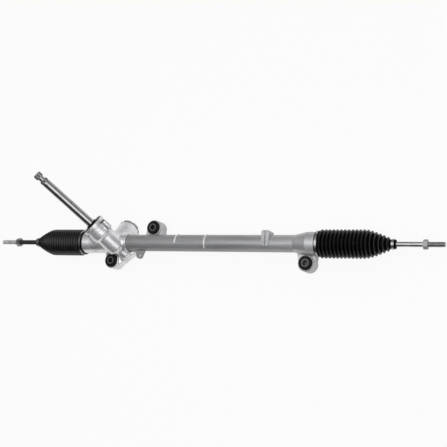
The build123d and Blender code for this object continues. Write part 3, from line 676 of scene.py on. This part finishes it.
def fold_line(boot, side, first, last):
    """The (radius, height) line of a boot's outside from fold first to fold last."""
    depth = boot.left_fold_height if side["way"] < 0 else boot.right_fold_height
    points = []
    for half in range(2 * first, 2 * last + 1):
        height = FIRST_VALLEY * MM + half / 2 * side["pitch"] * MM
        valley = half % 2 == 0
        points.append((fold_crest(boot, side, height) - (depth if valley else 0.0), height))
    return points


def boot_part(name, boot, side, outside, inside, rounding):
    """A closed ring of rubber between an outside and an inside line, with rounded folds."""
    bm = spun_ring(outside + inside[::-1], ROUND_STEPS)
    rings = []
    for edge in bm.edges:
        a, b = (vert.co for vert in edge.verts)
        on_fold = any(
            abs(reach_of(a) - radius) < 2 * WELD and abs(a.z - height) < LEVEL
            for radius, height in outside[1:-1]
        )
        if on_fold and abs(a.z - b.z) < LEVEL:
            rings.append(edge)
    round_off(bm, rings, rounding * MM, 3)
    # where two roundings meet, no thread-thin faces are left between them
    bmesh.ops.remove_doubles(bm, verts=bm.verts, dist=WELD)
    # how deep each point lies under the folds' crests, for the painted shade in the valleys
    depth = bm.verts.layers.float.new("fold_depth")
    for vert in bm.verts:
        under = fold_crest(boot, side, vert.co.z) - reach_of(vert.co)
        vert[depth] = min(1.0, max(0.0, under / (DEEPEST_FOLD * MM)))
    matrix = rack_frame(side["lip"], side["way"])
    return piece_from(bm, name, "boot rubber", matrix, smooth_below=70)


class GEAR_OT_boots(bpy.types.Operator):
    """Mould two rubber boots, each in two pieces: the lip with the folds, and the rest of the cone
    with its cuff
    """

    bl_idname = "gear.boots"
    bl_label = "Boots"

    def execute(self, context):
        boot = context.scene.gear_boots
        break_fold = boot.even_folds + BREAK_AFTER
        last_fold = boot.even_folds + boot.cone_folds
        for word, side in SIDES.items():
            way, pitch = side["way"], side["pitch"] * MM
            bend = FIRST_VALLEY * MM + break_fold * pitch
            cuff = FIRST_VALLEY * MM + last_fold * pitch
            # the lip, the even folds and the first folds of the cone
            folds = fold_line(boot, side, 0, break_fold)
            seam = (folds[-1][0] - BOOT_WALL * MM, bend)
            bellows = boot_part(
                f"boot_{word}_folds", boot, side, in_metres(LIP_OUTSIDE) + folds,
                in_metres(LIP_INSIDE) + [seam], side["rounding"],
            )
            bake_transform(bellows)
            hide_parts(f"boot_{word}")
            # the rest of the cone and the cuff
            folds = fold_line(boot, side, break_fold, last_fold)[:-1]
            cone = boot_part(
                f"boot_{word}_cone", boot, side, folds + in_metres(CUFF_OUTSIDE, cuff),
                [seam] + in_metres(CUFF_INSIDE, cuff), CONE_ROUNDING,
            )
            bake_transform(cone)
            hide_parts(f"boot_{word}")
        return {"FINISHED"}


# ------------------------------------------------------------ tie rods with their threads
def thread_bar(thread, start, end):
    """A bmesh of a screw thread round Z from start to end, closed, with a chamfered tip."""
    bm = bmesh.new()
    radii = {"root": thread.root_radius, "crest": thread.crest_radius}
    low = start - 1.5 * thread.pitch
    turns = math.ceil((end - start) / thread.pitch) + 3
    corners, edges = bent_line(
        bm, [(radii[level], low + thread.pitch * share) for level, share in THREAD_LINE]
    )
    bmesh.ops.spin(
        bm, geom=corners + edges, cent=(0, 0, 0), axis=(0, 0, 1),
        dvec=(0, 0, thread.pitch / THREAD_STEPS), angle=2 * math.pi * turns,
        steps=THREAD_STEPS * turns, use_merge=False,
    )
    bmesh.ops.remove_doubles(bm, verts=bm.verts, dist=thread.pitch * 0.01)
    for height, keep_above in ((start, True), (end, False)):
        bmesh.ops.bisect_plane(
            bm, geom=bm.verts[:] + bm.edges[:] + bm.faces[:], plane_co=(0, 0, height),
            plane_no=(0, 0, 1), clear_inner=keep_above, clear_outer=not keep_above,
        )
        rim = [
            edge for edge in bm.edges
            if edge.is_boundary and all(abs(vert.co.z - height) < LEVEL for vert in edge.verts)
        ]
        bmesh.ops.edgeloop_fill(bm, edges=rim)
    tip = end - THREAD_CHAMFER * MM
    for vert in bm.verts:
        room = thread.crest_radius - max(0.0, vert.co.z - tip)
        if reach_of(vert.co) > room:
            pull_to(vert, room)
    return bm


def plain_rod(node, cut, way):
    """A bmesh of a tie rod's ball, neck and shank, as it is turned, up to a cut across X."""
    bm = merged_copy(node)
    bmesh.ops.bisect_plane(
        bm, geom=bm.verts[:] + bm.edges[:] + bm.faces[:], plane_co=cut, plane_no=(way, 0, 0),
        clear_outer=True,
    )
    bmesh.ops.edgeloop_fill(bm, edges=[edge for edge in bm.edges if edge.is_boundary])
    return bm


class GEAR_OT_tie_rods(bpy.types.Operator):
    """Cut the screw threads of both tie rods"""

    bl_idname = "gear.tie_rods"
    bl_label = "Tie rods"

    def execute(self, context):
        thread = context.scene.gear_threads
        for word, side in SIDES.items():
            matrix = rack_frame(side["ball"], side["way"])
            end = ROD_LENGTH * MM
            start = end - side["free"] * MM - HIDDEN_THREAD * MM
            cut = matrix @ Vector((0, 0, start + SHANK_OVERLAP * MM))
            rod = plain_rod(f"tie_rod_{word}", cut, side["way"])
            shank = piece_from(rod, f"tie_rod_{word}_shank", f"{word} rod steel")
            screw = piece_from(
                thread_bar(thread, start, end), f"tie_rod_{word}_thread", f"{word} thread",
                matrix, smooth_below=25,
            )
            for piece in (shank, screw):
                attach(piece, f"tie_rod_{word}")
                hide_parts(f"tie_rod_{word}")
        return {"FINISHED"}


# ------------------------------------------------------------ input shaft and cover
class GEAR_OT_serration(bpy.types.Operator):
    """Roll the serration round the input shaft's end, on both sides of the pinch groove"""

    bl_idname = "gear.serration"
    bl_label = "Shaft serration"

    def execute(self, context):
        teeth = context.scene.gear_threads.serration_teeth
        bm = bmesh.new()
        for low, high in SERRATED:
            ring = bmesh.ops.create_circle(
                bm, segments=2 * teeth, radius=SERRATION_ROOT * MM, cap_ends=True,
                matrix=Matrix.Translation((0, 0, low * MM)),
            )["verts"]
            for vert in ring[::2]:
                vert.co.x *= SERRATION_CREST / SERRATION_ROOT
                vert.co.y *= SERRATION_CREST / SERRATION_ROOT
            foot = [face for face in bm.faces if all(vert in face.verts for vert in ring)]
            grown = bmesh.ops.extrude_face_region(bm, geom=foot)["geom"]
            raised = [item for item in grown if isinstance(item, bmesh.types.BMVert)]
            bmesh.ops.translate(bm, vec=(0, 0, (high - low) * MM), verts=raised)
        serration = piece_from(
            bm, "shaft_serration", "serrated steel", PINION_FRAME, smooth_below=15
        )
        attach(serration, "pinion")
        return {"FINISHED"}


def bolt_bar(bm, segments, radii, low, high):
    """A closed bar or cone round Z, in millimetres over the bolt's seat; its vertices."""
    middle = Matrix.Translation((0, 0, (BOLT_SEAT + (low + high) / 2) * MM))
    return bmesh.ops.create_cone(
        bm, cap_ends=True, segments=segments, radius1=radii[0] * MM, radius2=radii[1] * MM,
        depth=(high - low) * MM, matrix=middle,
    )["verts"]


class GEAR_OT_cover_bolts(bpy.types.Operator):
    """Fit the two flanged bolts of the tower's cover"""

    bl_idname = "gear.cover_bolts"
    bl_label = "Cover bolts"

    def execute(self, context):
        bm = bmesh.new()
        near_top = (BOLT_SEAT + BOLT_HEAD_TOP - 0.5) * MM
        for turn in (math.pi / 2, -math.pi / 2):
            before = set(bm.verts)
            head = bolt_bar(bm, 6, (4.62, 4.62), 0.9, BOLT_HEAD_TOP)
            top = [
                edge for edge in bm.edges
                if all(vert in head and vert.co.z > near_top for vert in edge.verts)
            ]
            round_off(bm, top, 0.5 * MM, 2)
            bolt_bar(bm, 40, (5.9, 5.3), 0.0, 1.0)  # flange
            bolt_bar(bm, 32, (3.0, 3.0), -19.6, 0.0)  # shank
            place = Matrix.Rotation(turn, 4, "Z") @ Matrix.Translation((BOLT_REACH * MM, 0, 0))
            fresh = [vert for vert in bm.verts if vert not in before]
            bmesh.ops.transform(bm, matrix=place, verts=fresh)
        bolts = piece_from(bm, "cover_bolts", "dark bolts", PINION_FRAME, smooth_below=30)
        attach(bolts, "housing")
        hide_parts("cover_screws")
        return {"FINISHED"}


class GEAR_OT_cover_rim(bpy.types.Operator):
    """Press the bright rim round the dust cover's skirt"""

    bl_idname = "gear.cover_rim"
    bl_label = "Cover rim"

    def execute(self, context):
        bm = spun_ring(in_metres(COVER_RIM), ROUND_STEPS)
        rim = piece_from(bm, "cover_rim", "cast aluminium", PINION_FRAME, smooth_below=30)
        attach(rim, "housing")
        return {"FINISHED"}


# ------------------------------------------------------------ tube and yoke
class GEAR_OT_tube_beads(bpy.types.Operator):
    """Raise the two cast beads on the tube's upper side"""

    bl_idname = "gear.tube_beads"
    bl_label = "Tube beads"

    def execute(self, context):
        bm = bmesh.new()
        for x, sweep in TUBE_BEADS:
            before = set(bm.verts)
            section = bmesh.ops.create_circle(
                bm, segments=BEAD_SIDES, radius=BEAD_RADIUS * MM, cap_ends=True,
                matrix=Matrix.Translation((0, BEAD_LINE * MM, 0)),
            )["verts"]
            faces = [face for face in bm.faces if all(vert in section for vert in face.verts)]
            edges = list(dict.fromkeys(edge for face in faces for edge in face.edges))
            bmesh.ops.spin(
                bm, geom=section + edges + faces, cent=(0, 0, 0), axis=(1, 0, 0),
                dvec=(0, 0, 0), angle=math.radians(sweep), steps=BEAD_STEPS, use_merge=False,
            )
            place = Matrix.Translation(Vector((x, RACK_Y, RACK_Z)) * MM)
            place = place @ Matrix.Rotation(math.radians(BEAD_START), 4, "X")
            fresh = [vert for vert in bm.verts if vert not in before]
            bmesh.ops.transform(bm, matrix=place, verts=fresh)
        bmesh.ops.remove_doubles(bm, verts=bm.verts, dist=WELD)
        # painted highlight: the beads are coloured near white
        beads = piece_from(bm, "tube_beads", "bead with painted highlight")
        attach(beads, "housing")
        return {"FINISHED"}


class GEAR_OT_lock_ring(bpy.types.Operator):
    """Turn the slotted ring that locks the yoke's plug"""

    bl_idname = "gear.lock_ring"
    bl_label = "Yoke lock ring"

    def execute(self, context):
        bm = spun_ring(in_metres(LOCK_RING), RING_STEPS)
        for vert in bm.verts:
            turn = math.degrees(math.atan2(vert.co.y, vert.co.x)) % SLOT_PITCH
            if reach_of(vert.co) > SLOT_RIM * MM and turn < SLOT_WIDTH:
                pull_to(vert, SLOT_FLOOR * MM)
        ring = piece_from(bm, "yoke_lock_ring", "worn casting", YOKE_FRAME, smooth_below=30)
        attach(ring, "housing")
        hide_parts("yoke_lock_nut")
        return {"FINISHED"}


# ------------------------------------------------------------ which solid has which finish
FINISHES = {
    "cast aluminium": ("pinion_cover", "rack_yoke", "rack_housing"),
    "grey tube": ("rack_tube",),
    "flare with painted light": ("far_housing", "middle_bracket"),
    "bush rubber": (
        "mount_rubber_a", "mount_rubber_b", "mount_rubber_c", "dust_cover", "pinion_seal",
        "yoke_o_ring",
    ),
    "bush sleeve": ("mount_sleeve_a", "mount_sleeve_b", "mount_sleeve_c"),
    "boot rubber": ("boot_left", "boot_right"),
    "ground steel": ("pinion_shaft", "bearing_circlip"),
    "rack steel": (
        "rack_bar", "inner_socket_left", "inner_socket_right", "bearing_outer_race",
        "bearing_inner_race", "bearing_balls", "nose_bearing_cup", "nose_bearing_needles",
        "yoke_spring", "socket_washer_left", "socket_washer_right",
    ),
    "zinc plate": ("boot_band_right", "boot_clip_left", "boot_clip_right"),
    "dull zinc": ("jam_nut_left", "jam_nut_right", "boot_band_left"),
    "worn casting": ("yoke_lock_nut", "yoke_plug"),
    "dark bolts": ("cover_screws",),
    "bearing plastic": ("ball_seat_left", "ball_seat_right", "yoke_liner", "rack_bush"),
    "left rod steel": ("tie_rod_left",),
    "right rod steel": ("tie_rod_right",),
}


class GEAR_OT_finishes(bpy.types.Operator):
    """Make every finish of the gear and put it on the solid parts"""

    bl_idname = "gear.finishes"
    bl_label = "Finishes"

    def execute(self, context):
        metal = context.scene.gear_metal
        casting, tube = tuple(metal.casting_colour), tuple(metal.tube_colour)
        steel, zinc = tuple(metal.steel_colour), tuple(metal.zinc_colour)
        black = tuple(context.scene.gear_boots.rubber_colour)
        # the beads' tone is the casting's made 1.25 times brighter, a painted highlight
        worn, bead = shaded(casting, 0.38), shaded(casting, 1.25)
        cast_metal("cast aluminium", casting, metallic=0.62, rough=0.3, grain_depth=0.3)
        cast_metal("worn casting", worn, metallic=0.65, rough=0.32, grain_depth=0.3)
        # painted light: the tube's tone grows 1.58 times towards its far end
        cast_metal(
            "grey tube", tube, metallic=0.35, rough=0.4, grain_depth=0.2,
            painted_light_fade=(0.03, 0.50, 1.0, 1.58),
        )
        # painted light: the flare and middle bracket are the tube's tone made 1.7 times brighter
        cast_metal("flare with painted light", shaded(tube, 1.7), metallic=0.4, rough=0.36, grain_depth=0.25)
        cast_metal("bead with painted highlight", bead, metallic=0.3, rough=0.3, grain_depth=0.2)
        rubber("boot rubber", black, rough=0.33, shine=0.48, shade_folds=True)
        rubber("bush rubber", shaded(black, 0.7), rough=0.5, shine=0.2)
        round_shaft = tuple(PINION_FRAME.to_3x3().inverted().to_euler())
        turned_steel("ground steel", steel, rough=0.14, turn=round_shaft)
        turned_steel(
            "serrated steel", shaded(steel, 0.6), rough=0.24, turn=round_shaft, marks=0.05
        )
        round_rack = (0, math.radians(-90), 0)
        turned_steel("rack steel", shaded(steel, 0.9), rough=0.3, turn=round_rack)
        turned_steel("left rod steel", (0.09, 0.09, 0.095), rough=0.34, turn=round_rack)
        turned_steel("right rod steel", shaded(steel, 1.15), rough=0.26, turn=round_rack)
        turned_steel("left thread", shaded(steel, 2.1), rough=0.34, turn=round_rack, marks=0.05)
        turned_steel("right thread", shaded(steel, 1.1), rough=0.32, turn=round_rack, marks=0.05)
        sleeve_steel("bush sleeve", (0.11, 0.11, 0.115), face_height=44.4 * MM)
        plated_steel("zinc plate", zinc, rough=0.24)
        plated_steel("dull zinc", shaded(zinc, 0.6), rough=0.26)
        plated_steel("dark bolts", (0.16, 0.16, 0.165), rough=0.42)
        moulded_plastic("bearing plastic", (0.62, 0.61, 0.57))
        for name, members in FINISHES.items():
            for node in members:
                slots = nodes[node].data.materials
                slots.clear()
                slots.append(bpy.data.materials[name])
        finished = {node for members in FINISHES.values() for node in members}
        bare = sorted(set(nodes) - finished)
        if bare:
            raise RuntimeError(f"no finish for {bare}")
        return {"FINISHED"}


# ------------------------------------------------------------ studio
def mixed_surface(tree, share, first, second, output):
    """Lead a mix of two shaders to an output node."""
    mix = tree.nodes.new("ShaderNodeMixShader")
    set_inputs(tree, mix, {"Fac": share, 1: first, 2: second})
    tree.links.new(mix.outputs["Shader"], output.inputs["Surface"])


def light_the_world(scene):
    """Soft light, strongest overhead, that falls off to the sides; the camera sees plain white."""
    world = bpy.data.worlds.new("studio")
    scene.world = world
    tree = cleared_tree(world)
    output = tree.nodes.new("ShaderNodeOutputWorld")
    coordinates = tree.nodes.new("ShaderNodeTexCoord")
    facing = tree.nodes.new("ShaderNodeVectorMath")
    facing.operation = "DOT_PRODUCT"
    set_inputs(tree, facing, {
        0: coordinates.outputs["Generated"], 1: Vector(SKY_WAY).normalized(),
    })
    light = tree.nodes.new("ShaderNodeBackground")
    set_inputs(tree, light, {
        "Color": ramp(tree, facing.outputs["Value"], *SKY), "Strength": SKY_STRENGTH,
    })
    plain = tree.nodes.new("ShaderNodeBackground")
    set_inputs(tree, plain, {"Color": (*BACKDROP, 1), "Strength": 1.0})
    path = tree.nodes.new("ShaderNodeLightPath")
    mixed_surface(
        tree, path.outputs["Is Camera Ray"], light.outputs["Background"],
        plain.outputs["Background"], output,
    )


def paint_the_floor(colour):
    """Matt and pale, keeping its shadows, and plain white to camera, gloss and glass."""
    tree = cleared_tree(bpy.data.materials.new("studio floor"))
    output = tree.nodes.new("ShaderNodeOutputMaterial")
    matt = tree.nodes.new("ShaderNodeBsdfDiffuse")
    matt.inputs["Color"].default_value = (*grey(FLOOR_GREY), 1)
    glow = tree.nodes.new("ShaderNodeEmission")
    set_inputs(tree, glow, {"Color": (*colour, 1), "Strength": FLOOR_GLOW})
    path = tree.nodes.new("ShaderNodeLightPath")
    seen = path.outputs["Is Camera Ray"]
    for ray in ("Is Glossy Ray", "Is Transmission Ray"):
        either = tree.nodes.new("ShaderNodeMath")
        either.operation = "MAXIMUM"
        set_inputs(tree, either, {0: seen, 1: path.outputs[ray]})
        seen = either.outputs["Value"]
    share = tree.nodes.new("ShaderNodeMath")
    share.operation = "MULTIPLY"
    set_inputs(tree, share, {0: seen, 1: GLOW_SHARE})
    mixed_surface(
        tree, share.outputs["Value"], matt.outputs["BSDF"], glow.outputs["Emission"], output
    )


def soft_lamp(name, place, aim, size, power):
    data = bpy.data.lights.new(name, "AREA")
    data.shape = "RECTANGLE"
    data.size, data.size_y = size
    data.energy = power
    lamp = bpy.data.objects.new(name, data)
    bpy.context.scene.collection.objects.link(lamp)
    lamp.location = place
    lamp.rotation_euler = (Vector(aim) - Vector(place)).to_track_quat("-Z", "Y").to_euler()
    lamp.visible_camera = False
    return lamp


def turn_lamp(lamp, along):
    """Turn a lamp about its own aim until its long side lies along a direction."""
    toward = lamp.matrix_basis.to_3x3().col[2].normalized()
    along = Vector(along)
    along = (along - toward * along.dot(toward)).normalized()
    lamp.matrix_basis = placed_axes(lamp.location, along, toward.cross(along), toward)


def put_up_camera(scene, lens):
    data = bpy.data.cameras.new("camera")
    data.sensor_width = SENSOR_WIDTH
    data.lens = lens
    data.clip_start, data.clip_end = CAMERA_CLIP
    camera = bpy.data.objects.new("camera", data)
    scene.collection.objects.link(camera)
    right, back = Vector(CAMERA_RIGHT).normalized(), Vector(CAMERA_BACK).normalized()
    camera.matrix_world = placed_axes(CAMERA_PLACE, right, back.cross(right), back)
    scene.camera = camera


class GEAR_OT_studio(bpy.types.Operator):
    """Lay the floor, hang the lamps and set up the camera"""

    bl_idname = "gear.studio"
    bl_label = "Studio"

    def execute(self, context):
        scene = context.scene
        studio = scene.gear_studio
        low = cad_box[0][2] - FLOOR_DROP
        bm = bmesh.new()
        bmesh.ops.create_grid(
            bm, x_segments=1, y_segments=1, size=FLOOR_SIZE,
            matrix=Matrix.Translation((*FLOOR_CENTRE, low)),
        )
        paint_the_floor(tuple(studio.floor_colour))
        floor = piece_from(bm, "studio_floor", "studio floor")
        light_the_world(scene)
        soft_lamp("key_lamp", KEY_PLACE, KEY_AIM, KEY_SIZE, studio.key_power)
        # the strip stands where the input shaft mirrors it, and lies across the shaft
        strip = soft_lamp("strip_lamp", STRIP_PLACE, STRIP_AIM, STRIP_SIZE, studio.strip_power)
        turn_lamp(strip, STRIP_ALONG)
        put_up_camera(scene, studio.lens)
        scene.view_settings.view_transform = "Standard"
        return {"FINISHED"}


# ------------------------------------------------------------ panel and registration
GROUPS = {
    "gear_boots": BootSettings,
    "gear_metal": MetalSettings,
    "gear_threads": ThreadSettings,
    "gear_studio": StudioSettings,
}
OPERATORS = (
    GEAR_OT_finishes,
    GEAR_OT_casting,
    GEAR_OT_boots,
    GEAR_OT_tie_rods,
    GEAR_OT_serration,
    GEAR_OT_cover_bolts,
    GEAR_OT_tube_beads,
    GEAR_OT_lock_ring,
    GEAR_OT_cover_rim,
    GEAR_OT_studio,
)


class GEAR_PT_panel(bpy.types.Panel):
    """The steering gear's pieces, in the order in which they are made, and their settings"""

    bl_idname = "GEAR_PT_panel"
    bl_label = "Steering gear"
    bl_space_type = "VIEW_3D"
    bl_region_type = "UI"
    bl_category = "Steering gear"

    def draw(self, context):
        for operator in OPERATORS:
            self.layout.operator(operator.bl_idname)
        for group in GROUPS:
            settings = getattr(context.scene, group)
            box = self.layout.box()
            for name in settings.bl_rna.properties.keys():
                if name not in ("rna_type", "name"):
                    box.prop(settings, name)


CLASSES = (*GROUPS.values(), *OPERATORS, GEAR_PT_panel)


def register():
    for cls in CLASSES:
        bpy.utils.register_class(cls)
    for name, cls in GROUPS.items():
        setattr(bpy.types.Scene, name, bpy.props.PointerProperty(type=cls))


def unregister():
    for name in GROUPS:
        delattr(bpy.types.Scene, name)
    for cls in reversed(CLASSES):
        bpy.utils.unregister_class(cls)


def main():
    register()
    for operator in OPERATORS:
        group, name = operator.bl_idname.split(".")
        getattr(getattr(bpy.ops, group), name)()


if __name__ == "__main__":
    main()
